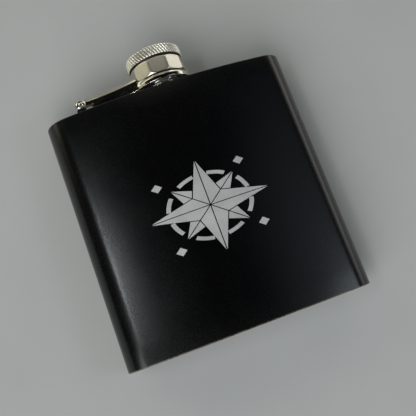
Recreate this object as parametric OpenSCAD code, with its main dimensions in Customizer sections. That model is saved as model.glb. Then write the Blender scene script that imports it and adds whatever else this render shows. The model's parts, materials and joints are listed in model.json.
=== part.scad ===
// Hip flask with a captive screw cap on a hinged arm.
// The flask lies on its back: X is its width, +Y runs from the base to the cap, +Z comes out of the front face.
// Every sub-part is drawn standing on its base (x width, y towards the back, z up) and is then laid down.

/* [Body] */
// Width of the body
body_w = 95; // [85:1:105]
// Height of the body, from the base rim to the shoulder
body_h = 95.6; // [80:0.2:110]
// Thickness of the body over its front crown and its two back lobes
body_t = 23; // [21:0.5:26]
// How far the front face bulges past the side rounds
front_rise = 3.8; // [3:0.1:5]
// How deep the back is dished to sit against a hip
back_dip = 3.2; // [2:0.1:4]
// Sheet thickness of the body wall
wall_t = 0.6; // [0.5:0.1:0.8]
// Sheet thickness of the top and bottom plates
plate_t = 0.6; // [0.5:0.1:0.8]
// How deep the bottom plate sits inside the rim
base_recess = 0.8; // [0.4:0.1:1.5]
// How deep the top plate sits below the wall's edge
top_recess = 0.2; // [0.1:0.1:0.4]

/* [Neck] */
// Radius of the mouth
mouth_r = 6.2; // [5.5:0.1:6.4]
// Radius of the neck tube at the thread root
neck_r = 7.3; // [7.1:0.1:7.4]
// Radius over the thread crests
thread_r = 7.9; // [7.6:0.1:7.9]
// Pitch of the thread
thread_pitch = 1.6; // [1.4:0.1:1.7]
// Number of thread turns on the neck
thread_turns = 3; // [1:1:3]
// Height of the neck's lip above the shoulder
neck_h = 7; // [6.6:0.1:7]
// Radius of the neck's base flange
neck_flange_r = 9.2; // [9:0.1:9.2]

/* [Cap] */
// Radius across the corners of the faceted collar
collar_r = 11.4; // [11:0.1:11.4]
// Number of flats on the collar
collar_flats = 10; // [8:1:12]
// Turn of the flats about the cap's axis, in degrees
collar_turn = -2; // [-18:1:18]
// Height of the cap's top face above the shoulder
cap_top = 15.4; // [14.8:0.1:16]
// Radius of the knurled head
head_r = 11; // [10.6:0.1:11.2]
// Number of ridges in the knurl
knurl_count = 54; // [40:1:72]
// Depth of the knurl
knurl_depth = 0.35; // [0.2:0.05:0.4]
// Radius of the groove between head and collar
groove_r = 9.9; // [9.6:0.1:10.2]
// Radius of the screw-in liner, and of the bore that it fills
liner_r = 9.4; // [9.3:0.1:9.4]
// Inner radius of the liner
socket_r = 8.5; // [8.4:0.1:8.6]

/* [Arm and hinge] */
// Distance from the cap's axis to the hinge pin
pin_reach = 32.3; // [30:0.1:34]
// Height of the hinge pin above the shoulder
pin_h = 3.9; // [3.8:0.1:4]
// Radius of the hinge pin
pin_r = 0.9; // [0.8:0.05:1]
// Running clearance of the pin in its bracket
pin_gap = 0.05; // [0.03:0.01:0.08]
// Radius and height of the pin's rivet heads
pin_head_r = 1.85; // [1.6:0.05:2]
pin_head_h = 0.7; // [0.5:0.1:0.9]
// Half width of the arm at the hinge
arm_half = 3.5; // [3.4:0.1:3.8]
// Half width of the arm where it meets the ring
arm_flare = 6.8; // [6:0.1:7]
// Sheet thickness of the arm
arm_t = 0.7; // [0.6:0.1:0.8]
// Height of the arm's top face above the shoulder, at the ring
arm_top = 7.3; // [6.8:0.1:7.4]
// Height of the arm's lower edge above the shoulder
arm_low = 1.35; // [1.2:0.05:1.5]
// Outer radius of the arm's ring
ring_r = 11.7; // [11.6:0.1:12]
// Height of the ring's top face above the shoulder
ring_top = 4.25; // [4.2:0.05:4.3]
// Height of the ring's outer edge above the shoulder, below its sloping top
ring_edge = 3.2; // [3.1:0.05:3.4]

/* [Hidden] */
$fn = 96;

flask_len = body_h + cap_top;
neck_y = -body_t / 2 + (body_t - back_dip) / 2;
over = 1;

// The section is four tangent arcs: a crowned front, two side rounds and a dished back.
side_r = (body_t - front_rise) / 2;
side_x = body_w / 2 - side_r;
side_y = -body_t / 2 + front_rise + side_r;
front_k = front_rise + side_r;
front_r = (side_x * side_x + front_k * front_k - side_r * side_r) / (2 * (front_k - side_r));
front_y = -body_t / 2 + front_r;
front_a = atan(side_x / (front_y - side_y));
back_m = side_r - back_dip;
back_r = (side_x * side_x + back_m * back_m - side_r * side_r) / (2 * back_dip);
back_y = body_t / 2 - back_dip + back_r;
back_a = atan(side_x / (back_y - side_y));
crown_steps = 22;
round_steps = 20;

// Cap and ring heights, all above the shoulder
collar_low = ring_top + 0.1;
collar_top = 10.5;
head_low = 11.4;
head_bevel = 0.35;
spigot_r = 9.95;
spigot_low = 2.2;
ring_bore_r = spigot_r + 0.07;
ring_slope = 1.5;
retainer_r = 10.3;
retainer_top = 3;
liner_low = 2.6;
liner_roof = 8.5;
liner_top = 9.6;
gasket_low = neck_h + 0.15;
gasket_in_r = 6.4;
gasket_out_r = 8.4;

// Hinge details
ear_r = 2.15;
ear_h = pin_h + 0.4;
ear_top = ear_h + ear_r;
arm_end_x = -9.5;
arm_straight_x = -26;
flange_step_x = -27.9;
flange_step_h = 3.05;
web_gap = 1.8;
lug_r = 1.5;
lug_half = 2.5;
bracket_half = 3.4;
bracket_t = 0.9;
bracket_left = -35.6;
bracket_right = -27.9;
shoulder_left = -30.7;
shoulder_right = -28.2;
shoulder_half = 2.7;
shoulder_h = 2.9;

// Points of an arc, from angle a to angle b, without its last one
function arc(cx, cy, r, a, b, steps) =
    [for (i = [0:steps - 1]) let (t = a + (b - a) * i / steps) [cx + r * cos(t), cy + r * sin(t)]];

// Outline of the flask's section, drawn d inside its outer surface
function section(d) = concat(
    arc(0, front_y, front_r - d, -90 - front_a, -90 + front_a, crown_steps),
    arc(side_x, side_y, side_r - d, -90 + front_a, 90 + back_a, round_steps),
    arc(0, back_y, back_r + d, -90 + back_a, -90 - back_a, crown_steps),
    arc(-side_x, side_y, side_r - d, 90 - back_a, 270 - front_a, round_steps)
);

// Half width of the arm at a distance x along it
function arm_half_at(x) = x < arm_straight_x
    ? arm_half
    : arm_half + (arm_flare - arm_half) * pow((x - arm_straight_x) / (arm_end_x - arm_straight_x), 2);

// Lays a standing sub-part on its back, with the flask centred along Y and resting on z = 0
module lay() {
    translate([0, -flask_len / 2, body_t / 2]) rotate([-90, 0, 0]) children();
}

// Places a sub-part on the neck's axis, with z = 0 at the shoulder
module on_neck() {
    lay() translate([0, neck_y, body_h]) children();
}

// Extrudes a side view (x along the arm, y up) across the arm, to half its width each way
module across(half) {
    rotate([90, 0, 0]) linear_extrude(2 * half, center = true) children();
}

module body_wall() {
    color([0.05, 0.05, 0.06]) lay() difference() {
        linear_extrude(body_h) polygon(section(0));
        translate([0, 0, -over]) linear_extrude(body_h + 2 * over) polygon(section(wall_t));
    }
}

module top_plate() {
    color([0.07, 0.07, 0.08]) lay() difference() {
        translate([0, 0, body_h - top_recess - plate_t]) linear_extrude(plate_t) polygon(section(wall_t));
        translate([0, neck_y, body_h - 3]) cylinder(r = neck_r, h = 5);
    }
}

module bottom_plate() {
    color([0.07, 0.07, 0.08]) lay()
        translate([0, 0, base_recess]) linear_extrude(plate_t) polygon(section(wall_t));
}

module neck() {
    foot = -2.2;
    first_thread = 1.9;
    ridge = thread_r - neck_r;
    threads = [for (i = [0:thread_turns - 1], p = [[0, 0], [ridge, 0.35], [ridge, 0.65], [0, 1]])
        [neck_r + p[0], first_thread + i * thread_pitch + p[1]]];
    color([0.72, 0.72, 0.7]) on_neck() rotate_extrude() polygon(concat(
        [[mouth_r, foot], [neck_r, foot], [neck_r, -top_recess], [neck_flange_r, -top_recess],
         [neck_flange_r, 0.7], [neck_flange_r - 0.3, 1], [neck_r, 1]],
        threads,
        [[neck_r, neck_h - 0.2], [neck_r - 0.2, neck_h], [mouth_r, neck_h]]
    ));
}

module hinge_bracket() {
    color([0.7, 0.7, 0.68]) on_neck() difference() {
        union() {
            translate([bracket_left, -bracket_half, -top_recess])
                cube([bracket_right - bracket_left, 2 * bracket_half, top_recess + bracket_t]);
            translate([shoulder_left, -shoulder_half, 0])
                cube([shoulder_right - shoulder_left, 2 * shoulder_half, shoulder_h]);
            across(lug_half) polygon(concat(
                [[-pin_reach - lug_r, 0], [-pin_reach + lug_r, 0]],
                arc(-pin_reach, pin_h, lug_r, 0, 180, 16),
                [[-pin_reach - lug_r, pin_h]]
            ));
        }
        translate([-pin_reach, 0, pin_h]) rotate([90, 0, 0])
            cylinder(r = pin_r + pin_gap, h = 12, center = true);
    }
}

// Plan of the arm from the hinge to the ring, drawn d inside its outer surface
module arm_plan(d) {
    start_x = -pin_reach - ear_r - over;
    steps = 10;
    flare = [for (i = [0:steps]) arm_straight_x + (arm_end_x - arm_straight_x) * i / steps];
    polygon(concat(
        [[start_x, arm_half - d], [start_x, d - arm_half]],
        [for (x = flare) [x, d - arm_half_at(x)]],
        [for (i = [steps:-1:0]) [flare[i], arm_half_at(flare[i]) - d]]
    ));
}

// Side view of the arm: a round ear at the pin, a gently rising top and a stepped lower edge
module arm_profile() {
    step_a = asin((flange_step_h - ear_h) / ear_r);
    polygon(concat(
        [[arm_end_x, arm_top], [arm_end_x, arm_low], [flange_step_x + 0.8, arm_low],
         [flange_step_x, arm_low + 0.8], [flange_step_x, flange_step_h]],
        arc(-pin_reach, ear_h, ear_r, step_a, -270, 24),
        [[-pin_reach, ear_top]]
    ));
}

module arm_hollow_profile() {
    start_x = -pin_reach - ear_r - over;
    polygon([[start_x, ear_top - arm_t], [start_x, 0], [arm_end_x + over, 0],
        [arm_end_x + over, arm_top - arm_t], [-pin_reach, ear_top - arm_t]]);
}

// Half section of the ring, drawn d inside its outer surface: an upright skirt under a sloping top
module ring_profile(d, low) {
    slope_a = atan2(ring_top - ring_edge, ring_slope);
    turn = d * tan((90 - slope_a) / 2);
    polygon([[0, low], [ring_r - d, low], [ring_r - d, ring_edge - turn],
        [ring_r - ring_slope - d * tan(slope_a / 2), ring_top - d], [0, ring_top - d]]);
}

module hinge_arm() {
    color([0.7, 0.69, 0.66]) on_neck() difference() {
        union() {
            difference() {
                intersection() {
                    linear_extrude(arm_top + over) arm_plan(0);
                    across(arm_flare + over) arm_profile();
                }
                intersection() {
                    linear_extrude(arm_top + over) arm_plan(arm_t);
                    across(arm_flare + over) arm_hollow_profile();
                }
            }
            rotate_extrude() ring_profile(0, arm_low);
        }
        rotate_extrude() ring_profile(arm_t, arm_low - over);
        translate([0, 0, ring_top - arm_t - over]) cylinder(r = ring_bore_r, h = 8);
        translate([0, 0, ring_top]) cylinder(r = ring_r + 0.05, h = 8);
        translate([-pin_reach - ear_r - over, arm_t - arm_half, 0])
            cube([ear_r + over + web_gap, 2 * (arm_half - arm_t), 9]);
        translate([-pin_reach, 0, pin_h]) rotate([90, 0, 0]) cylinder(r = pin_r, h = 12, center = true);
    }
}

module hinge_pin() {
    dome = 0.25;
    end = arm_half + pin_head_h;
    color([0.8, 0.79, 0.76]) on_neck() translate([-pin_reach, 0, pin_h]) rotate([90, 0, 0])
        rotate_extrude() polygon([
            [0, -end], [pin_head_r - 2 * dome, -end], [pin_head_r, dome - end], [pin_head_r, -arm_half],
            [pin_r, -arm_half], [pin_r, arm_half],
            [pin_head_r, arm_half], [pin_head_r, end - dome], [pin_head_r - 2 * dome, end], [0, end]
        ]);
}

module cap_head() {
    bevel = 0.5;
    rim_r = head_r - 0.15;
    root_r = head_r - knurl_depth;
    tooth = 360 / knurl_count;
    color([0.74, 0.72, 0.66]) on_neck() union() {
        translate([0, 0, head_low + head_bevel]) linear_extrude(cap_top - bevel - head_low - head_bevel)
            polygon([for (i = [0:knurl_count - 1], k = [0:1])
                let (r = k == 0 ? head_r : root_r, t = (i + k / 2) * tooth) [r * cos(t), r * sin(t)]]);
        rotate_extrude() polygon([
            [0, liner_top], [liner_r, liner_top], [liner_r, collar_top], [groove_r, collar_top],
            [groove_r, head_low], [rim_r - head_bevel, head_low], [rim_r, head_low + head_bevel],
            [root_r - 0.2, head_low + head_bevel], [root_r - 0.2, cap_top - bevel],
            [head_r - 0.8, cap_top], [0, cap_top]
        ]);
    }
}

module cap_collar() {
    top_bevel_r = 0.85;
    top_bevel_h = 1.1;
    low_bevel_r = 0.5;
    low_bevel_h = 0.7;
    color([0.72, 0.69, 0.62]) on_neck() difference() {
        union() {
            intersection() {
                translate([0, 0, collar_low]) rotate(collar_turn)
                    cylinder(r = collar_r, h = collar_top - collar_low, $fn = collar_flats);
                rotate_extrude() polygon([
                    [0, collar_low], [collar_r - low_bevel_r, collar_low],
                    [collar_r + 0.1, collar_low + low_bevel_h], [collar_r + 0.1, collar_top - top_bevel_h],
                    [collar_r - top_bevel_r, collar_top], [0, collar_top]
                ]);
            }
            translate([0, 0, spigot_low]) cylinder(r = spigot_r, h = collar_low - spigot_low + 0.5);
        }
        translate([0, 0, spigot_low - over]) cylinder(r = liner_r, h = cap_top);
    }
}

module cap_liner() {
    color([0.85, 0.85, 0.82]) on_neck() rotate_extrude() polygon([
        [socket_r, liner_low], [liner_r, liner_low], [liner_r, liner_top], [0, liner_top],
        [0, liner_roof], [socket_r, liner_roof]
    ]);
}

module cap_gasket() {
    color([0.9, 0.9, 0.88]) on_neck() difference() {
        translate([0, 0, gasket_low]) cylinder(r = gasket_out_r, h = liner_roof - gasket_low);
        translate([0, 0, gasket_low - over]) cylinder(r = gasket_in_r, h = 4);
    }
}

module cap_retaining_ring() {
    color([0.7, 0.7, 0.68]) on_neck() difference() {
        translate([0, 0, spigot_low]) cylinder(r = retainer_r, h = retainer_top - spigot_low);
        translate([0, 0, spigot_low - over]) cylinder(r = spigot_r, h = 4);
    }
}

body_wall();
top_plate();
bottom_plate();
neck();
hinge_bracket();
hinge_arm();
hinge_pin();
cap_head();
cap_collar();
cap_liner();
cap_gasket();
cap_retaining_ring();
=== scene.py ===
import json
import math
import bmesh
import bpy
import numpy as np
from mathutils import Matrix, Vector


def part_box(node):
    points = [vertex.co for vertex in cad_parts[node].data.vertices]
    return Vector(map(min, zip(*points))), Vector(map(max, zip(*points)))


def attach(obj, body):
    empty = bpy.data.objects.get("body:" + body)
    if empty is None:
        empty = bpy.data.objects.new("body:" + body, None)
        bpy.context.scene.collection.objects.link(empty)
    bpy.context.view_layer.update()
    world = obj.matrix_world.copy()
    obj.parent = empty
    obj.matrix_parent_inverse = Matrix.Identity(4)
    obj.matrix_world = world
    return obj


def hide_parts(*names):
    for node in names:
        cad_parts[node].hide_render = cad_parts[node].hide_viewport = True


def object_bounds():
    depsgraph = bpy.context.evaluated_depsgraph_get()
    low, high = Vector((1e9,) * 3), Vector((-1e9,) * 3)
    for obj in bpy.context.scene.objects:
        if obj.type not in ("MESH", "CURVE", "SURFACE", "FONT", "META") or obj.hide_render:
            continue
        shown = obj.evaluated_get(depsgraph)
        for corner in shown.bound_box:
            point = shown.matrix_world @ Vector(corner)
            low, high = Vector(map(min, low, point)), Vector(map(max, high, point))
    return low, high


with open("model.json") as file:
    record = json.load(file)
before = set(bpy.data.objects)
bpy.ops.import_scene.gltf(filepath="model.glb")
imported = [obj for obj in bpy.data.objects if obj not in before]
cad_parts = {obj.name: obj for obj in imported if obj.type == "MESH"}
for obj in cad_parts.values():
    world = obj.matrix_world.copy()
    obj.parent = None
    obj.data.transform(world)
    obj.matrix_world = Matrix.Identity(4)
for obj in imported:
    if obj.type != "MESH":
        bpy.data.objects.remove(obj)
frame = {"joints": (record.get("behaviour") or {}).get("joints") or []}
cad_low, cad_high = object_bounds()

# ---------------------------------------------------------------- places, from the frame
MM = 0.001
joints = {j["name"]: j for j in frame["joints"]}
axis_x, _, axis_z = joints["cap_spin"]["pos_m"]
pin_x, pin_y, pin_z = joints["arm_swing"]["pos_m"]
wall_low, wall_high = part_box("body_wall")
BODY_W = (wall_high.x - wall_low.x) / MM
BODY_H = (wall_high.y - wall_low.y) / MM
BODY_T = (wall_high.z - wall_low.z) / MM

# Sub-parts are drawn in millimetres, standing on the flask's base: x is the width, y goes to the back, z up.
# Only the pin is drawn along the frame's own z.
LAID_DOWN = Matrix.Rotation(math.radians(-90), 4, "X") @ Matrix.Scale(MM, 4)
STANDING = Matrix.Translation((0, wall_low.y, (wall_low.z + wall_high.z) / 2)) @ LAID_DOWN
CAP_AXIS = (axis_x, wall_high.y, axis_z)
ON_NECK = Matrix.Translation(CAP_AXIS) @ LAID_DOWN
ON_PIN = Matrix.Translation((pin_x, pin_y, pin_z)) @ Matrix.Scale(MM, 4)

# Body section, in millimetres
FRONT_RISE = 3.8
BACK_DIP = 3.2
SHEET = 0.6
TOP_RECESS = 0.2
BASE_RECESS = 0.8
NECK_Y = (STANDING.translation.z - axis_z) / MM
PIN_H = (pin_y - wall_high.y) / MM
PIN_REACH = (axis_x - pin_x) / MM

# Heights above the shoulder, in millimetres
RING_TOP = 4.25
COLLAR_TOP = 10.5
HEAD_LOW = 11.4
CAP_TOP = (cad_high.y - wall_high.y) / MM
NECK_LIP = 7.0
LINER_ROOF = 8.5
LINER_TOP = 9.6
SPIGOT_LOW = 2.2

# The neck's thread and the liner's, in millimetres
THREAD_PITCH = 1.6


# ---------------------------------------------------------------- mesh helpers
def add_piece(name, verts, faces, placing, finish, body, replaced=(), sharp=35.0):
    """Makes a mesh object from points in millimetres, lays it in the frame and ties it to its body."""
    mesh = bpy.data.meshes.new(name)
    mesh.from_pydata([tuple(map(float, v)) for v in verts], [], [tuple(map(int, f)) for f in faces])
    mesh.transform(placing)
    work = bmesh.new()
    work.from_mesh(mesh)
    bmesh.ops.recalc_face_normals(work, faces=work.faces)
    work.to_mesh(mesh)
    work.free()
    mesh.validate()
    mesh.shade_smooth()
    mesh.set_sharp_from_angle(angle=math.radians(sharp))
    piece = bpy.data.objects.new(name, mesh)
    bpy.context.scene.collection.objects.link(piece)
    mesh.materials.append(finish)
    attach(piece, body)
    if replaced:
        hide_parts(*replaced)
    return piece


def rounded(points, steps=6):
    """A closed outline through (u, v, radius) points, with an arc of that radius at each corner."""
    out = []
    count = len(points)
    for i, (u, v, radius) in enumerate(points):
        corner = np.array([u, v], float)
        before = np.array(points[i - 1][:2], float) - corner
        after = np.array(points[(i + 1) % count][:2], float) - corner
        if radius <= 0:
            out.append(corner)
            continue
        a = before / np.linalg.norm(before)
        b = after / np.linalg.norm(after)
        half = math.acos(float(np.clip(a @ b, -1, 1))) / 2
        reach = radius / math.tan(half)
        centre = corner + (a + b) / np.linalg.norm(a + b) * radius / math.sin(half)
        start = corner + a * reach - centre
        end = corner + b * reach - centre
        turn = math.atan2(start[0] * end[1] - start[1] * end[0], float(start @ end))
        for k in range(steps + 1):
            t = turn * k / steps
            out.append(centre + [start[0] * math.cos(t) - start[1] * math.sin(t),
                                 start[0] * math.sin(t) + start[1] * math.cos(t)])
    return np.array(out)


def densified(path, longest, closed=True, beyond=-math.inf):
    """The same outline with no stretch longer than the given length.
    A stretch with both ends within the radius beyond stays whole."""
    out = []
    count = len(path)
    for i in range(count if closed else count - 1):
        a, b = path[i], path[(i + 1) % count]
        length = float(np.linalg.norm(b - a)) if max(a[0], b[0]) > beyond else 0
        pieces = max(1, math.ceil(length / longest))
        out += [a + (b - a) * k / pieces for k in range(pieces)]
    if not closed:
        out.append(path[-1])
    return np.array(out)


def band(i, j, steps):
    """The faces between loop i and loop j, each of that many points."""
    return [(i * steps + k, i * steps + (k + 1) % steps, j * steps + (k + 1) % steps, j * steps + k)
            for k in range(steps)]


def turned(path, steps, shape=None, poles=False):
    """Turns an outline of (r, z) points about z. shape(theta, r, z) may change the radius.
    With poles, the outline runs from the axis to the axis and its end points are single vertices."""
    theta = np.arange(steps) * 2 * math.pi / steps
    rows = path[1:-1] if poles else path
    r, t = np.meshgrid(rows[:, 0], theta, indexing="ij")
    z = np.meshgrid(rows[:, 1], theta, indexing="ij")[0]
    if shape:
        r = shape(t, r, z)
    verts = np.stack([r * np.cos(t), r * np.sin(t), z], -1).reshape(-1, 3)
    count = len(rows)
    faces = []
    for i in range(count - 1 if poles else count):
        faces += band(i, (i + 1) % count, steps)
    if poles:
        first = len(verts)
        verts = np.vstack([verts, [0, 0, path[0][1]], [0, 0, path[-1][1]]])
        last_row = (count - 1) * steps
        faces += [(first, (k + 1) % steps, k) for k in range(steps)]
        faces += [(first + 1, last_row + k, last_row + (k + 1) % steps) for k in range(steps)]
    return verts, faces


def lofted(rows, closed):
    """Joins loops of equally many points. Closed joins the last loop to the first.
    Otherwise the two ends are capped."""
    steps = len(rows[0])
    verts = np.vstack(rows)
    faces = []
    for i in range(len(rows) if closed else len(rows) - 1):
        faces += band(i, (i + 1) % len(rows), steps)
    if not closed:
        last = (len(rows) - 1) * steps
        faces.append(tuple(range(steps)))
        faces.append(tuple(last + k for k in range(steps)))
    return verts, faces


def round_max(a, b, radius):
    """Intersection of two distance fields, with its edge rounded."""
    corner = np.hypot(np.maximum(a + radius, 0), np.maximum(b + radius, 0))
    return np.minimum(np.maximum(a, b), -radius) + corner


def smooth_min(a, b, width):
    """Union of two distance fields, with a fillet."""
    h = np.clip(0.5 + 0.5 * (b - a) / width, 0, 1)
    return b + (a - b) * h - width * h * (1 - h)


def box_field(x, y, z, low, high, radius):
    """Distance to a box with rounded edges."""
    parts = [np.abs(p - (a + b) / 2) - ((b - a) / 2 - radius) for p, a, b in zip((x, y, z), low, high)]
    outside = np.sqrt(sum(np.maximum(p, 0) ** 2 for p in parts))
    return outside + np.minimum(np.maximum(np.maximum(parts[0], parts[1]), parts[2]), 0) - radius


def surface_of(field, low, high, step):
    """Meshes the zero surface of a distance field between two corners, with one point in each cell that
    the surface crosses. The points are then moved onto the surface along the field's slope."""
    axes = [np.arange(a, b + step, step) for a, b in zip(low, high)]
    value = field(*np.meshgrid(*axes, indexing="ij"))
    shape = tuple(n - 1 for n in value.shape)
    total = np.zeros(shape + (3,))
    hits = np.zeros(shape)
    crossings = []
    for axis in range(3):
        first = np.take(value, range(value.shape[axis] - 1), axis)
        second = np.take(value, range(1, value.shape[axis]), axis)
        crossed = (first < 0) != (second < 0)
        share = np.where(crossed, first / np.where(crossed, first - second, 1), 0)
        place = np.stack(np.meshgrid(*[axes[d][:first.shape[d]] for d in range(3)], indexing="ij"), -1)
        place[..., axis] += share * step
        place *= crossed[..., None]
        others = [d for d in range(3) if d != axis]
        for shift in ((0, 0), (0, 1), (1, 0), (1, 1)):
            cut = [slice(None)] * 3
            for d, s in zip(others, shift):
                cut[d] = slice(s, s + shape[d])
            total += place[tuple(cut)]
            hits += crossed[tuple(cut)]
        crossings.append((crossed, first < 0))
    used = hits > 0
    number = np.full(shape, -1)
    number[used] = np.arange(used.sum())
    points = total[used] / hits[used][:, None]
    faces = []
    for axis, (crossed, inside) in enumerate(crossings):
        u, v = (axis + 1) % 3, (axis + 2) % 3
        at = np.argwhere(crossed)
        at = at[(at[:, u] > 0) & (at[:, v] > 0) & (at[:, u] < shape[u]) & (at[:, v] < shape[v])]
        flip = inside[tuple(at.T)]
        corners = []
        for du, dv in ((1, 1), (0, 1), (0, 0), (1, 0)):
            cell = at.copy()
            cell[:, u] -= du
            cell[:, v] -= dv
            corners.append(number[tuple(cell.T)])
        quads = np.stack(corners, 1)
        quads[~flip] = quads[~flip][:, ::-1]
        faces.append(quads)
    small = step / 50
    rounds, least_slope = 3, 0.5
    for _ in range(rounds):
        here = field(*points.T)
        nudges = small * np.eye(3)
        slope = np.stack([(field(*(points + n).T) - field(*(points - n).T)) / (2 * small) for n in nudges], 1)
        move = here[:, None] * slope / np.maximum((slope ** 2).sum(1), least_slope ** 2)[:, None]
        points = points - np.clip(move, -step / 2, step / 2)
    return points, np.vstack(faces)


# ---------------------------------------------------------------- materials
def material(name, base, metallic, roughness):
    """A new material with its node tree and main shader."""
    made = bpy.data.materials.new(name)
    made.use_nodes = True
    tree = made.node_tree
    shader = tree.nodes["Principled BSDF"]
    shader.inputs["Base Color"].default_value = (*base, 1)
    shader.inputs["Metallic"].default_value = metallic
    shader.inputs["Roughness"].default_value = roughness
    return made, tree, shader


def node(tree, kind, **values):
    """A node with its settings and its unlinked inputs."""
    made = tree.nodes.new(kind)
    for key, value in values.items():
        if key in made.inputs:
            made.inputs[key].default_value = value
        else:
            setattr(made, key, value)
    return made


def place_on(tree, origin=(0, 0, 0), stretch=(1, 1, 1)):
    """Object coordinates about an origin, stretched per axis: a larger number makes finer detail."""
    coords = node(tree, "ShaderNodeTexCoord")
    mapping = node(tree, "ShaderNodeMapping", vector_type="TEXTURE")
    mapping.inputs["Location"].default_value = origin
    mapping.inputs["Scale"].default_value = tuple(1 / s for s in stretch)
    tree.links.new(coords.outputs["Object"], mapping.inputs["Vector"])
    return mapping.outputs["Vector"]


def noise(tree, vector, scale, detail=3.0, roughness=0.55):
    """Noise at a scale in cycles a metre, as a value from 0 to 1."""
    made = node(tree, "ShaderNodeTexNoise", Scale=scale, Detail=detail, Roughness=roughness)
    tree.links.new(vector, made.inputs["Vector"])
    return made.outputs["Fac"]


def ranged(tree, value, low, high, to_low, to_high):
    """Maps a value from one range to another, held at its ends."""
    made = node(tree, "ShaderNodeMapRange")
    for key, number in (("From Min", low), ("From Max", high), ("To Min", to_low), ("To Max", to_high)):
        made.inputs[key].default_value = number
    tree.links.new(value, made.inputs["Value"])
    return made.outputs["Result"]


def mixed(tree, factor, first, second):
    """A colour between two colours or colour outputs."""
    made = node(tree, "ShaderNodeMix", data_type="RGBA")
    tree.links.new(factor, made.inputs["Factor"])
    for socket, colour in (("A", first), ("B", second)):
        target = [s for s in made.inputs if s.name == socket and s.type == "RGBA"][0]
        if isinstance(colour, tuple):
            target.default_value = (*colour, 1)
        else:
            tree.links.new(colour, target)
    return [s for s in made.outputs if s.type == "RGBA"][0]


def combined(tree, operation, first, second):
    """Arithmetic on two values."""
    made = node(tree, "ShaderNodeMath", operation=operation)
    for socket, value in zip(made.inputs, (first, second)):
        if isinstance(value, (int, float)):
            socket.default_value = value
        else:
            tree.links.new(value, socket)
    return made.outputs["Value"]


def bumped(tree, shader, heights):
    """Adds bumps on top of each other. Each is (height value, strength, distance in metres)."""
    normal = None
    for height, strength, distance in heights:
        bump = node(tree, "ShaderNodeBump", Strength=strength, Distance=distance)
        tree.links.new(height, bump.inputs["Height"])
        if normal:
            tree.links.new(normal, bump.inputs["Normal"])
        normal = bump.outputs["Normal"]
    tree.links.new(normal, shader.inputs["Normal"])


def powder_coat():
    """Matte black powder coat: fine orange peel, faint handling marks, worn a little at the base rim."""
    made, tree, shader = material("black_powder_coat", (0.0004, 0.0006, 0.0010), 0, 0.25)
    place = place_on(tree)
    peel = noise(tree, place, 1700, 2)
    grit = noise(tree, place, 7000, 2)
    cloud = noise(tree, place, 45, 3)
    smear = noise(tree, place_on(tree, stretch=(1, 0.25, 1)), 160, 4, 0.7)
    speck = ranged(tree, grit, 0.52, 0.72, 0, 1)
    black, dust = (0.0002, 0.0003, 0.0006), (0.0012, 0.0015, 0.0021)
    body = mixed(tree, speck, black, dust)
    split = node(tree, "ShaderNodeSeparateXYZ")
    tree.links.new(place, split.inputs["Vector"])
    fully_worn, unworn = wall_low.y + 0.15 * MM, wall_low.y + 0.6 * MM
    rim = ranged(tree, split.outputs["Y"], fully_worn, unworn, 1, 0)
    patches = ranged(tree, noise(tree, place, 900, 4), 0.4, 0.6, 0.3, 0.9)
    worn = combined(tree, "MULTIPLY", rim, patches)
    bare = (0.15, 0.135, 0.09)
    tree.links.new(mixed(tree, worn, body, bare), shader.inputs["Base Color"])
    handled = ranged(tree, smear, 0.5, 0.8, 0, -0.02)
    rough = combined(tree, "ADD", ranged(tree, cloud, 0.3, 0.7, 0.24, 0.27), handled)
    grain = ranged(tree, noise(tree, place, 2600, 2), 0.35, 0.65, -0.03, 0.03)
    rough = combined(tree, "ADD", rough, grain)
    tree.links.new(rough, shader.inputs["Roughness"])
    bumped(tree, shader, [(peel, 0.11, 0.02 * MM), (grit, 0.08, 0.006 * MM)])
    return made


def steel(name, base, tint, roughness, spread, stretch, lines, marks=0.5, painted_shade_radii=None):
    """Stainless steel with fine working lines along the stretched direction, hairlines and faint smudges.
    The last argument is two radii about the cap's axis in millimetres, (dark, unshaded), between which
    painted shade darkens the steel's colour towards the first radius and the steel dulls."""
    made, tree, shader = material(name, base, 1, roughness)
    plain = place_on(tree)
    line = noise(tree, place_on(tree, CAP_AXIS, stretch), lines, 3, 0.6)
    smudge = noise(tree, plain, 260, 3, 0.6)
    scratches = noise(tree, place_on(tree, CAP_AXIS, (1, 0.08, 1)), 5200, 2)
    hair = ranged(tree, scratches, 0.62, 0.70, 0, 1)
    colour = mixed(tree, ranged(tree, smudge, 0.35, 0.7, 0, 1), base, tint)
    worked = ranged(tree, line, 0.3, 0.7, roughness - spread, roughness + spread)
    greasy = ranged(tree, smudge, 0.45, 0.75, 0, spread)
    scratched = combined(tree, "MULTIPLY", hair, spread)
    rough = combined(tree, "ADD", combined(tree, "ADD", worked, greasy), scratched)
    # Painted shade: a mask of distance from the cap's axis darkens the steel's colour, standing in for shade
    # in grooves and under the arm, and dulls the steel with it.
    if painted_shade_radii:
        flat = node(tree, "ShaderNodeVectorMath", operation="MULTIPLY")
        flat.inputs[1].default_value = (1, 0, 1)
        tree.links.new(place_on(tree, CAP_AXIS), flat.inputs[0])
        length = node(tree, "ShaderNodeVectorMath", operation="LENGTH")
        tree.links.new(flat.outputs["Vector"], length.inputs[0])
        dark_r, unshaded_r = painted_shade_radii
        darkest_shade, shade_colour, dulling = 0.93, (0.012, 0.011, 0.010), 0.3
        painted_shade_mask = ranged(tree, length.outputs["Value"], dark_r * MM, unshaded_r * MM, darkest_shade, 0)
        colour = mixed(tree, painted_shade_mask, colour, shade_colour)
        rough = combined(tree, "ADD", rough, combined(tree, "MULTIPLY", painted_shade_mask, dulling))
    tree.links.new(colour, shader.inputs["Base Color"])
    tree.links.new(rough, shader.inputs["Roughness"])
    bumped(tree, shader, [(line, 0.10, 0.010 * MM), (hair, 0.06 * marks, 0.004 * MM)])
    return made


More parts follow.
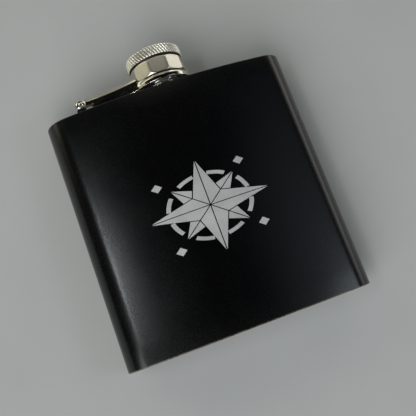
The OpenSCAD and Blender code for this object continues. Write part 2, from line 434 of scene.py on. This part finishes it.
def etched():
    """Bare steel where the coat was burnt away: pale, fine-grained and almost without gloss."""
    made, tree, shader = material("etched_steel", (0.50, 0.50, 0.51), 0.25, 0.55)
    place = place_on(tree)
    grain = noise(tree, place, 5200, 3)
    sweep = noise(tree, place_on(tree, stretch=(0.12, 1, 1)), 2600, 2)
    patch = noise(tree, place, 90, 2)
    tone = combined(tree, "ADD", combined(tree, "MULTIPLY", grain, 0.5),
                    combined(tree, "MULTIPLY", patch, 0.5))
    shade = ranged(tree, tone, 0.35, 0.65, 0, 1)
    dull, bright = (0.42, 0.42, 0.43), (0.62, 0.62, 0.63)
    tree.links.new(mixed(tree, shade, dull, bright), shader.inputs["Base Color"])
    tree.links.new(ranged(tree, sweep, 0.3, 0.7, 0.45, 0.65), shader.inputs["Roughness"])
    bumped(tree, shader, [(grain, 0.3, 0.010 * MM), (sweep, 0.15, 0.006 * MM)])
    return made


def moulded_plastic():
    """Off-white food-grade plastic with faint flow marks."""
    made, tree, shader = material("liner_plastic", (0.72, 0.72, 0.68), 0, 0.4)
    place = place_on(tree)
    flow = noise(tree, place, 420, 3)
    fine = noise(tree, place, 4800, 2)
    thick, thin = (0.66, 0.66, 0.62), (0.77, 0.77, 0.73)
    tree.links.new(mixed(tree, flow, thick, thin), shader.inputs["Base Color"])
    tree.links.new(ranged(tree, flow, 0.3, 0.7, 0.34, 0.46), shader.inputs["Roughness"])
    shader.inputs["Subsurface Weight"].default_value = 0.15
    shader.inputs["Subsurface Radius"].default_value = (0.001, 0.0009, 0.0007)
    bumped(tree, shader, [(fine, 0.1, 0.006 * MM)])
    return made


def silicone():
    """Milky silicone, softly glossy, with dust in its surface."""
    milky, dusty = (0.80, 0.80, 0.77), (0.62, 0.61, 0.57)
    made, tree, shader = material("gasket_silicone", milky, 0, 0.5)
    place = place_on(tree)
    dust = noise(tree, place, 6000, 2)
    cloud = noise(tree, place, 500, 2)
    specks = ranged(tree, dust, 0.6, 0.75, 0, 1)
    tree.links.new(mixed(tree, specks, milky, dusty), shader.inputs["Base Color"])
    tree.links.new(ranged(tree, cloud, 0.3, 0.7, 0.42, 0.6), shader.inputs["Roughness"])
    shader.inputs["Subsurface Weight"].default_value = 0.4
    shader.inputs["Subsurface Radius"].default_value = (0.0015, 0.0014, 0.0012)
    bumped(tree, shader, [(dust, 0.12, 0.008 * MM)])
    return made


COAT = powder_coat()
ETCHED = etched()
ALONG_AXIS = (1, 0.2, 1)
# Painted shade: the cap's steel darkens nearer the axis than 10.86 mm, fully inside 10.46 mm, in the knurl's
# cuts, the groove under the head and the middle of the top.
CAP_STEEL = steel("cap_steel", (0.94, 0.91, 0.82), (0.87, 0.84, 0.74), roughness=0.30, spread=0.04,
                  stretch=ALONG_AXIS, lines=3600, painted_shade_radii=(10.46, 10.86))
# Painted shade: the collar's steel darkens nearer the axis than 10.5 mm, on its top within the groove under
# the head and in its bore.
COLLAR_STEEL = steel("collar_steel", (0.70, 0.67, 0.59), (0.64, 0.61, 0.52), roughness=0.30, spread=0.03,
                     stretch=ALONG_AXIS, lines=3600, painted_shade_radii=(10.2, 10.5))
ARM_STEEL = steel("arm_steel", (0.66, 0.63, 0.56), (0.60, 0.57, 0.50), roughness=0.12, spread=0.03,
                  stretch=(0.1, 1, 1), lines=3200, marks=0.3)
NECK_STEEL = steel("neck_steel", (0.62, 0.61, 0.59), (0.56, 0.55, 0.53), roughness=0.2, spread=0.04,
                   stretch=(0.25, 1, 0.25), lines=4000)
HINGE_STEEL = steel("hinge_steel", (0.84, 0.82, 0.77), (0.74, 0.72, 0.67), roughness=0.15, spread=0.04,
                    stretch=(1, 1, 0.2), lines=3000)
# Painted shade: the bracket's steel darkens farther from the cap's axis than 30.6 mm, fully beyond 31.1 mm,
# on the lug under the arm and the outer end of the foot.
BRACKET_STEEL = steel("bracket_steel", (0.76, 0.75, 0.71), (0.66, 0.65, 0.61), roughness=0.5, spread=0.06,
                      stretch=(1, 1, 0.3), lines=3000, painted_shade_radii=(31.1, 30.6))
PLASTIC = moulded_plastic()
SILICONE = silicone()


# ---------------------------------------------------------------- body
side_r = (BODY_T - FRONT_RISE) / 2
side_x = BODY_W / 2 - side_r
side_y = -BODY_T / 2 + FRONT_RISE + side_r
crown_h = FRONT_RISE + side_r
front_r = (side_x ** 2 + crown_h ** 2 - side_r ** 2) / (2 * (crown_h - side_r))
front_y = -BODY_T / 2 + front_r
front_angle = math.atan(side_x / (front_y - side_y))
dish_h = side_r - BACK_DIP
back_r = (side_x ** 2 + dish_h ** 2 - side_r ** 2) / (2 * BACK_DIP)
back_y = BODY_T / 2 - BACK_DIP + back_r
back_angle = math.atan(side_x / (back_y - side_y))


def arc(cx, cy, radius, start, end, steps):
    """Points of an arc, without its last one."""
    t = start + (end - start) * np.arange(steps) / steps
    return np.stack([cx + radius * np.cos(t), cy + radius * np.sin(t)], 1)


def section(inset, z):
    """One loop of the body's section, that far inside its outer surface, at height z."""
    down, up = -math.pi / 2, math.pi / 2
    flat = np.vstack([
        arc(0, front_y, front_r - inset, down - front_angle, down + front_angle, steps=72),
        arc(side_x, side_y, side_r - inset, down + front_angle, up + back_angle, steps=44),
        arc(0, back_y, back_r + inset, down + back_angle, down - back_angle, steps=60),
        arc(-side_x, side_y, side_r - inset, up - back_angle, 3 * up - front_angle, steps=44),
    ])
    return np.column_stack([flat, np.full(len(flat), z)])


def front_face_y(x):
    """Depth of the front face at a width x."""
    return front_y - math.sqrt(front_r ** 2 - x * x)


def build_wall():
    """The wrap of sheet: its outline, an upright strip with round edges, is carried round the section."""
    outer_edge, inner_edge = 0.35, 0.2
    path = rounded([(0, 0, outer_edge), (0, BODY_H, outer_edge), (SHEET, BODY_H, inner_edge),
                    (SHEET, 0, inner_edge)])
    rows = [section(inset, z) for inset, z in densified(path, longest=8)]
    verts, faces = lofted(rows, closed=True)
    add_piece("flask_wall", verts, faces, STANDING, COAT, "flask", ["body_wall"])


def build_top_plate():
    """The shoulder plate, with a weld groove round its edge. Its steps are (share of the way in, height)."""
    hole_r = 7.3
    outer = section(SHEET, 0)[:, :2]
    angle = np.arctan2(outer[:, 1] - NECK_Y, outer[:, 0])
    hole = np.stack([hole_r * np.cos(angle), NECK_Y + hole_r * np.sin(angle)], 1)
    top = BODY_H - TOP_RECESS
    low = top - SHEET
    groove = 0.28
    steps = ((0, low), (0, top - groove), (0.012, top - 0.05), (0.03, top), (0.5, top),
             (1, top), (1, low), (0.5, low))
    rows = [np.column_stack([outer + (hole - outer) * share, np.full(len(outer), z)]) for share, z in steps]
    verts, faces = lofted(rows, closed=True)
    add_piece("shoulder_plate", verts, faces, STANDING, COAT, "flask", ["top_plate"])


def build_bottom_plate():
    """The base plate, with a pressed step inside its edge."""
    low, high = BASE_RECESS, BASE_RECESS + SHEET
    step = 0.35
    insets = [(1.2, high), (SHEET, high), (SHEET, low + 0.25), (SHEET + 0.25, low), (2.2, low),
              (2.5, low + 0.04), (2.9, low + step - 0.04), (3.2, low + step), (4.2, low + step)]
    rows = [section(inset, z) for inset, z in insets]
    verts, faces = lofted(rows, closed=False)
    add_piece("base_plate", verts, faces, STANDING, COAT, "flask", ["bottom_plate"])


def helix_ridge(theta, z, pitch, foot, half, steepness):
    """Height of a thread's ridge, from 0 to 1, on a helix that starts at the foot."""
    turn = (z - foot) / pitch - theta / (2 * math.pi)
    return np.clip((half - np.abs(turn - np.floor(turn) - 0.5)) * steepness, 0, 1)


def faded(z, low, high, length):
    """1 between two heights, fading to 0 at both over a length."""
    return np.clip((z - low) / length, 0, 1) * np.clip((high - z) / length, 0, 1)


def build_neck():
    """The spout with its base flange. The thread raises the outside between its two ends."""
    bore, root, crest, flange = 6.2, 7.3, 7.9, 9.2
    low, pitch, thread_low, thread_high = -2.2, THREAD_PITCH, 1.7, 6.6
    path = rounded([(bore, low, 0.15), (bore, NECK_LIP, 0.25), (root - 0.05, NECK_LIP, 0.3),
                    (root - 0.05, 1.05, 0.3), (flange, 1.0, 0.3), (flange, -TOP_RECESS, 0.1),
                    (root, -TOP_RECESS, 0), (root, low, 0.15)])
    path = densified(path, longest=0.16)

    def thread(theta, r, z):
        ridge = helix_ridge(theta, z, pitch, foot=thread_low, half=0.34, steepness=5)
        fade = faded(z, thread_low, thread_high, length=0.7)
        outer = (r > root - 0.2) & (z > thread_low) & (z < thread_high)
        return np.where(outer, r + (crest - root) * ridge * fade, r)

    verts, faces = turned(path, steps=144, shape=thread)
    add_piece("threaded_neck", verts, faces, ON_NECK, NECK_STEEL, "flask", ["neck"])


# ---------------------------------------------------------------- ornament
ORNAMENT_X, ORNAMENT_Z = -0.3, 46
ORNAMENT_HALF_W, ORNAMENT_HALF_H = 23.6, 18.2


def shrunk(triangle, gap):
    """A triangle drawn in by a gap on every side."""
    p = np.array(triangle, float)
    sides = np.array([np.linalg.norm(p[(i + 1) % 3] - p[(i + 2) % 3]) for i in range(3)])
    area = abs(np.cross(p[1] - p[0], p[2] - p[0])) / 2
    centre = (sides[:, None] * p).sum(0) / sides.sum()
    return centre + (p - centre) * (1 - gap * sides.sum() / 2 / area)


def ornament_shapes():
    """A plain compass star in an oval: four long rays, four short ones, a broken ring and four lozenges."""
    waist, short, share, gap = 4.2, 9.6, 0.2, 0.15
    inner, outer, dash, steps = 11.2, 12.5, 25, 10
    spot_x, spot_y, spot = 11.9, 12.6, 1.6
    tip, corner, far_corner = (ORNAMENT_HALF_H, 0), (waist, waist), (short, short)
    ledge = (waist + share * (ORNAMENT_HALF_H - waist), waist - share * waist)
    sector = [shrunk([(0, 0), tip, corner], gap), shrunk([(0, 0), (waist, -waist), tip], gap),
              shrunk([corner, ledge, far_corner], gap), shrunk([corner, far_corner, ledge[::-1]], gap)]
    for start in (10, 55):
        t = np.radians(start + dash * np.arange(steps + 1) / steps)
        rim, core = [radius * np.stack([np.cos(t), np.sin(t)], 1) for radius in (outer, inner)]
        sector += [np.array([rim[i], rim[i + 1], core[i + 1], core[i]]) for i in range(steps)]
    sector.append(np.array([(spot_x - spot, spot_y), (spot_x, spot_y - spot),
                            (spot_x + spot, spot_y), (spot_x, spot_y + spot)]))
    stretch = np.array([ORNAMENT_HALF_W / ORNAMENT_HALF_H, 1])
    shapes = []
    for quarter in range(4):
        c, s = round(math.cos(quarter * math.pi / 2)), round(math.sin(quarter * math.pi / 2))
        shapes += [shape @ np.array([[c, s], [-s, c]]) * stretch for shape in sector]
    return shapes


def build_ornament():
    """The ornament on the front face, in strips that follow the crown and stand a little proud of it."""
    proud, buried, strip = 0.03, 0.05, 1.5
    work = bmesh.new()
    for shape in ornament_shapes():
        work.faces.new([work.verts.new((x + ORNAMENT_X, y + ORNAMENT_Z, 0)) for x, y in shape])
    bmesh.ops.remove_doubles(work, verts=work.verts, dist=1e-4)
    bmesh.ops.recalc_face_normals(work, faces=work.faces)
    reach = int(ORNAMENT_HALF_W / strip) + 1
    for k in range(-reach, reach + 1):
        parts = work.verts[:] + work.edges[:] + work.faces[:]
        bmesh.ops.bisect_plane(work, geom=parts, plane_co=(k * strip + ORNAMENT_X, 0, 0), plane_no=(1, 0, 0))
    raised = bmesh.ops.extrude_face_region(work, geom=work.faces[:])
    top = {v for v in raised["geom"] if isinstance(v, bmesh.types.BMVert)}
    # The operators leave their results in no fixed order, so the points and faces are sorted.
    ordered = sorted(work.verts, key=lambda v: (*v.co.xy, v in top))
    number = {v: i for i, v in enumerate(ordered)}
    verts = [(v.co.x, front_face_y(v.co.x) + (-proud if v in top else buried), v.co.y) for v in ordered]
    faces = sorted([number[v] for v in f.verts] for f in work.faces)
    work.free()
    add_piece("front_ornament", verts, faces, STANDING, ETCHED, "flask", sharp=30)


# ---------------------------------------------------------------- hinge and arm
def build_bracket():
    """A foot on the shoulder plate, a low block under the arm and the lug that the pin goes through."""
    base_low, base_high = (-35.6, -3.4, -0.2), (-27.9, 3.4, 0.9)
    shoulder_low, shoulder_high = (-30.7, -2.7, 0), (-28.2, 2.7, 2.9)
    lug_r, lug_half, hole_r = 1.5, 2.5, 0.95

    def field(x, y, z):
        base = box_field(x, y, z, base_low, base_high, 0.22)
        shoulder = box_field(x, y, z, shoulder_low, shoulder_high, 0.35)
        from_pin = np.hypot(x + PIN_REACH, z - PIN_H)
        stem = np.maximum(np.abs(x + PIN_REACH) - lug_r, z - PIN_H)
        knuckle = np.minimum(from_pin - lug_r, stem)
        lug = round_max(np.maximum(knuckle, -z), np.abs(y) - lug_half, 0.2)
        solid = smooth_min(smooth_min(base, shoulder, 0.5), lug, 0.3)
        return np.maximum(solid, hole_r - from_pin)

    verts, faces = surface_of(field, low=(-36.1, -3.9, -0.6), high=(-27.4, 3.9, 5.9), step=0.12)
    add_piece("bracket", verts, faces, ON_NECK, BRACKET_STEEL, "flask", ["hinge_bracket"],
              sharp=50)


def build_arm():
    """A hood from the pin to the ring and the ring itself are blended and hollowed to sheet.
    The ring's bore, the two ears' outline and the slot between them are then cut."""
    flare_x, end_x, narrow, wide = -26.0, -9.5, 3.5, 6.8
    ear_r, ear_h, top_at_ring, low = 2.15, PIN_H + 0.4, 7.3, 1.35
    step_x, step_h = -27.9, 3.05
    ring_r, ring_bore, clear_r = 11.7, 10.04, 11.75
    sheet, shoulder_r, ring_edge, ring_slope = 0.7, 2.2, 3.2, 1.5
    hood_end, slot_end = -7, 1.8 - PIN_REACH
    slope_a = math.atan2(RING_TOP - ring_edge, ring_slope)
    top_at_pin, above_ring = ear_h + ear_r, RING_TOP + 0.02

    def field(x, y, z):
        along = np.maximum(x - flare_x, 0) / (end_x - flare_x)
        half = narrow + (wide - narrow) * along ** 2
        slope = 2 * (wide - narrow) * along / (end_x - flare_x)
        side = (np.abs(y) - half) / np.sqrt(1 + slope ** 2)
        top = z - top_at_pin - (x + PIN_REACH) * (top_at_ring - top_at_pin) / (end_x + PIN_REACH)
        hood = np.maximum(round_max(side, top, shoulder_r), x - hood_end)
        radius = np.hypot(x, y)
        sloping = (radius - ring_r) * math.sin(slope_a) + (z - ring_edge) * math.cos(slope_a)
        ring = round_max(round_max(radius - ring_r, sloping, 0.5), z - RING_TOP, 0.1)
        drawn = smooth_min(hood, ring, 0.8)
        pressed = np.maximum(drawn, -(drawn + sheet))
        pressed = np.maximum(pressed, -np.maximum(radius - clear_r, above_ring - z))
        pressed = round_max(pressed, ring_bore - radius, 0.12)
        ear = np.hypot(x + PIN_REACH, z - ear_h) - ear_r
        over_step = np.maximum(-PIN_REACH - x, step_h - z)
        past_step = np.maximum(step_x - x, low - z)
        outline = smooth_min(smooth_min(ear, over_step, 0.3), past_step, 0.4)
        pressed = round_max(pressed, outline, 0.1)
        slot = np.maximum(np.abs(y) - (narrow - sheet), x - slot_end)
        return round_max(pressed, -slot, 0.15)

    verts, faces = surface_of(field, low=(-35.0, -12.3, 0.9), high=(12.3, 12.3, 7.7), step=0.14)
    add_piece("captive_arm", verts, faces, ON_NECK, ARM_STEEL, "arm", ["hinge_arm"], sharp=50)


def build_pin():
    """The rivet, with a dished head at each end."""
    head_r, head_h, shank, half = 1.85, 0.75, 0.9, 3.5
    end = half + head_h
    side = [(0, end - 0.55, 0), (0.45, end - 0.55, 0.15), (0.8, end, 0.2), (1.35, end, 0.25),
            (head_r, end - 0.4, 0.2), (head_r, half, 0.08), (shank, half, 0)]
    path = rounded([(r, -z, c) for r, z, c in side] + [(r, z, c) for r, z, c in side[::-1]])
    verts, faces = turned(path, steps=64, poles=True)
    add_piece("rivet_pin", verts, faces, ON_PIN, HINGE_STEEL, "arm", ["hinge_pin"])


# ---------------------------------------------------------------- cap
def build_cap_head():
    """The cap's top and the plug under it. The knurl cuts leaning ridges, and shallower ones across them."""
    head_r, groove_r, plug_r = 11.0, 9.9, 9.4
    low_bevel, top_bevel = 0.35, 0.4
    ridges, depth, cross_depth, lean = 54, 0.5, 0.5, math.radians(28)
    knurl_low, knurl_high = HEAD_LOW + low_bevel, CAP_TOP - top_bevel
    knurl_r, crown = groove_r + 0.5, 0.1
    pitch = 2 * math.pi * head_r / ridges
    path = rounded([(0, LINER_TOP, 0), (plug_r, LINER_TOP, 0.1), (plug_r, COLLAR_TOP, 0),
                    (groove_r, COLLAR_TOP, 0), (groove_r, HEAD_LOW, 0.1),
                    (head_r - low_bevel, HEAD_LOW, 0.15), (head_r, knurl_low, 0.25),
                    (head_r, knurl_high, 0.25), (head_r - top_bevel, CAP_TOP, 0.25),
                    (head_r - 1.9, CAP_TOP, 0.3), (head_r - 2.5, CAP_TOP - 0.25, 0.3),
                    (0, CAP_TOP - crown, 0)])
    path = densified(path, longest=0.12, closed=False, beyond=knurl_r)

    def groove(wave, land):
        """Depth of a cut, from 0 to 1, where a wave from 0 to 1 leaves some land between the cuts."""
        return np.clip((1 + land) * wave - land, 0, 1)

    def knurl(theta, r, z):
        around = theta * ridges / (2 * math.pi)
        rise = (z - knurl_low) * math.tan(lean) / pitch
        leaning = 1 - np.abs((around + rise) % 1 - 0.5) * 2
        crossing = 1 - np.abs((around - rise) % 1 - 0.5) * 2
        cut = np.maximum(groove(leaning, 0.3), cross_depth * groove(crossing, 1))
        fade = np.clip((z - HEAD_LOW) / low_bevel, 0, 1) * np.clip((CAP_TOP - crown - z) / top_bevel, 0, 1)
        return np.where(r > knurl_r, r - depth * cut * fade, r)

    verts, faces = turned(path, steps=ridges * 16, shape=knurl, poles=True)
    add_piece("knurled_cap_top", verts, faces, ON_NECK, CAP_STEEL, "cap", ["cap_head"], sharp=60)


def build_collar():
    """The faceted collar, which tapers a little towards the top, and its spigot."""
    corner_r, flats, turn = 11.4, 10, math.radians(-2)
    top_bevel_r, top_bevel_h, low_bevel_r, low_bevel_h = 0.85, 1.1, 0.5, 0.7
    bore, spigot, taper = 9.42, 9.95, math.tan(math.radians(2.5))
    sector = 2 * math.pi / flats
    flat_r = corner_r * math.cos(sector / 2)
    low = RING_TOP + 0.1
    path = rounded([(bore, SPIGOT_LOW, 0.1), (bore, COLLAR_TOP, 0.1),
                    (corner_r - top_bevel_r, COLLAR_TOP, 0.1), (corner_r, COLLAR_TOP - top_bevel_h, 0.2),
                    (corner_r, low + low_bevel_h, 0.2), (corner_r - low_bevel_r, low, 0.1),
                    (spigot, low, 0), (spigot, SPIGOT_LOW, 0.1)])
    facet_r, flat_blend, rim_blend = spigot + 0.3, 0.4, 0.16
    path = densified(path, longest=0.16, beyond=facet_r)

    def facets(theta, r, z):
        off = np.abs((theta - turn) % sector - sector / 2)
        facet = smooth_min(flat_r / np.cos(off), flat_r / np.cos(sector - off), flat_blend)
        facet = facet - taper * (z - low)
        return np.where(r > facet_r, smooth_min(facet, r, rim_blend), r)

    verts, faces = turned(path, steps=720, shape=facets)
    add_piece("faceted_collar", verts, faces, ON_NECK, COLLAR_STEEL, "cap", ["cap_collar"],
              sharp=60)


def build_liner():
    """The insert, a cup open downwards, with a thread inside."""
    socket, outer, low = 8.5, 9.4, 2.6
    thread_low, thread_high, thread_h, near = 3.0, 7.0, 0.28, 0.05
    path = rounded([(0, LINER_TOP, 0), (outer, LINER_TOP, 0.2), (outer, low, 0.15), (socket, low, 0.25),
                    (socket, LINER_ROOF, 0.2), (0, LINER_ROOF, 0)])
    path = densified(path, longest=0.2, closed=False)

    def thread(theta, r, z):
        ridge = helix_ridge(theta, z, THREAD_PITCH, foot=0, half=0.22, steepness=6)
        fade = faded(z, thread_low, thread_high, length=0.6)
        inner = (r > socket - near) & (r < socket + near)
        return np.where(inner, r - thread_h * ridge * fade, r)

    verts, faces = turned(path, steps=144, shape=thread, poles=True)
    add_piece("threaded_liner", verts, faces, ON_NECK, PLASTIC, "cap", ["cap_liner"])


def build_gasket():
    inner, outer, low = 6.4, 8.4, 7.15
    path = rounded([(inner, low, 0.3), (outer, low, 0.3),
                    (outer, LINER_ROOF, 0.15), (inner, LINER_ROOF, 0.3)])
    verts, faces = turned(path, steps=128)
    add_piece("sealing_ring", verts, faces, ON_NECK, SILICONE, "cap", ["cap_gasket"])


def build_retaining_ring():
    inner, outer, top = 9.96, 10.3, 3
    path = rounded([(inner, SPIGOT_LOW, 0.05), (outer, SPIGOT_LOW, 0.12),
                    (outer, top, 0.12), (inner, top, 0.05)])
    verts, faces = turned(path, steps=128)
    add_piece("retaining_ring", verts, faces, ON_NECK, HINGE_STEEL, "cap",
              ["cap_retaining_ring"])


# ---------------------------------------------------------------- floor, light and camera
def build_floor():
    darker, lighter = (0.445, 0.455, 0.455), (0.525, 0.535, 0.535)
    made, tree, shader = material("pale_floor", lighter, 0, 0.75)
    cloud = noise(tree, place_on(tree), 14, 5, 0.6)
    tree.links.new(mixed(tree, cloud, darker, lighter), shader.inputs["Base Color"])
    mesh = bpy.data.meshes.new("floor")
    reach, steps = 3.0, 96
    turns = [2 * math.pi * k / steps for k in range(steps)]
    mesh.from_pydata([(reach * math.cos(t), reach * math.sin(t), 0) for t in turns], [], [range(steps)])
    floor = bpy.data.objects.new("floor", mesh)
    bpy.context.scene.collection.objects.link(floor)
    mesh.materials.append(made)


def add_light(name, place, aim, size, energy, colour=(1, 1, 1)):
    """A soft rectangular light at a place in metres, facing its aim, with its energy in watts.
    Its second size lies in the vertical plane through its aim."""
    light = bpy.data.lights.new(name, "AREA")
    light.shape = "RECTANGLE"
    light.size, light.size_y = size
    light.energy = energy
    light.color = colour
    lamp = bpy.data.objects.new(name, light)
    lamp.location = place
    lamp.rotation_euler = (Vector(aim) - Vector(place)).to_track_quat("-Z", "Y").to_euler()
    bpy.context.scene.collection.objects.link(lamp)


def build_lights():
    add_light("key", place=(-0.32, 0.05, 0.54), aim=(-0.04, -0.02, 0), size=(0.14, 0.03),
              energy=0.34, colour=(0.92, 0.98, 1))
    add_light("fill", place=(0.43, -0.20, 0.46), aim=(0.03, -0.03, 0), size=(0.30, 0.16),
              energy=0.38, colour=(0.84, 0.94, 1))
    add_light("window", place=(-1.1, -1.2, 1.15), aim=(0, 0, 0), size=(2.2, 1.8), energy=38.0)
    add_light("card", place=(0.015, 0.192, 0.220), aim=(0, 0.045, 0.01), size=(0.09, 0.05),
              energy=0.0095, colour=(1, 0.95, 0.85))
    add_light("rim", place=(0.45, 0.92, 0.12), aim=(0, 0.05, 0.01), size=(0.14, 0.14), energy=0.20)


def build_sky():
    """Soft light from around, for the steel to reflect: bright low on the right and at the back left, dark
    in front, on the left and in a bar from side to side overhead, with a faint glow in the bar's right half.
    Seen past the floor's edge, it is a plain pale grey."""
    world = bpy.data.worlds.new("studio")
    bpy.context.scene.world = world
    world.use_nodes = True
    tree = world.node_tree
    background = tree.nodes["Background"]
    coords = node(tree, "ShaderNodeTexCoord").outputs["Generated"]
    split = node(tree, "ShaderNodeSeparateXYZ")
    tree.links.new(coords, split.inputs["Vector"])

    def lobe(direction, edge, core):
        """1 within a cone about a direction and 0 outside it. Edge and core are cosines."""
        dot = node(tree, "ShaderNodeVectorMath", operation="DOT_PRODUCT")
        dot.inputs[1].default_value = tuple(Vector(direction).normalized())
        tree.links.new(coords, dot.inputs[0])
        return ranged(tree, dot.outputs["Value"], edge, core, 0, 1)

    def either(first, second):
        return combined(tree, "MAXIMUM", first, second)

    bar_y, bar_core, bar_edge = 0.16, 0.34, 0.50
    off_bar = combined(tree, "ABSOLUTE", combined(tree, "SUBTRACT", split.outputs["Y"], bar_y), 0)
    overhead = ranged(tree, split.outputs["Z"], 0.15, 0.36, 0, 1)
    bar = combined(tree, "MULTIPLY", ranged(tree, off_bar, bar_core, bar_edge, 1, 0), overhead)
    front = ranged(tree, split.outputs["Y"], -0.45, -0.25, 0.9, 0)
    dark = either(either(bar, lobe((-1, 0.05, 0.15), 0.90, 0.96)), front)
    black, dim, backdrop = (0.0, 0.0, 0.0), (0.34, 0.335, 0.30), (0.36, 0.37, 0.37)
    around = mixed(tree, lobe((0.9, 0.4, 0.1), 0.7, 0.95), dim, (1.65, 1.61, 1.5))
    around = mixed(tree, lobe((-0.75, 0.6, 0.28), 0.86, 0.95), around, (1.5, 1.45, 1.1))
    around = mixed(tree, dark, around, black)
    around = mixed(tree, lobe((0.6, 0, 0.8), 0.93, 1), around, (0.25, 0.29, 0.33))
    seen = node(tree, "ShaderNodeLightPath").outputs["Is Camera Ray"]
    tree.links.new(mixed(tree, seen, around, backdrop), background.inputs["Color"])
    background.inputs["Strength"].default_value = 1.0


def build_camera():
    """Looks down on the flask from the base's side, a little to its left and turned about the view.
    The place is in millimetres from the middle of the base rim."""
    place, focal_length = Vector((-31.9, 6.1, 230.3)), 54.13
    back, nearly_up = Vector((-0.135, -0.174, 0.975)).normalized(), Vector((0.3255, 0.9219, 0.2099))
    camera = bpy.data.objects.new("camera", bpy.data.cameras.new("camera"))
    right = nearly_up.cross(back).normalized()
    turn = Matrix((right, back.cross(right), back)).transposed().to_4x4()
    base = Vector((0, wall_low.y, (wall_low.z + wall_high.z) / 2))
    camera.matrix_world = Matrix.Translation(base + place * MM) @ turn
    camera.data.lens = focal_length
    camera.data.sensor_width = 36
    camera.data.clip_start = 0.01
    bpy.context.scene.collection.objects.link(camera)
    bpy.context.scene.camera = camera


build_wall()
build_top_plate()
build_bottom_plate()
build_neck()
build_ornament()
build_bracket()
build_arm()
build_pin()
build_cap_head()
build_collar()
build_liner()
build_gasket()
build_retaining_ring()
build_floor()
build_sky()
build_lights()
build_camera()
bpy.context.scene.view_settings.view_transform = "Standard"
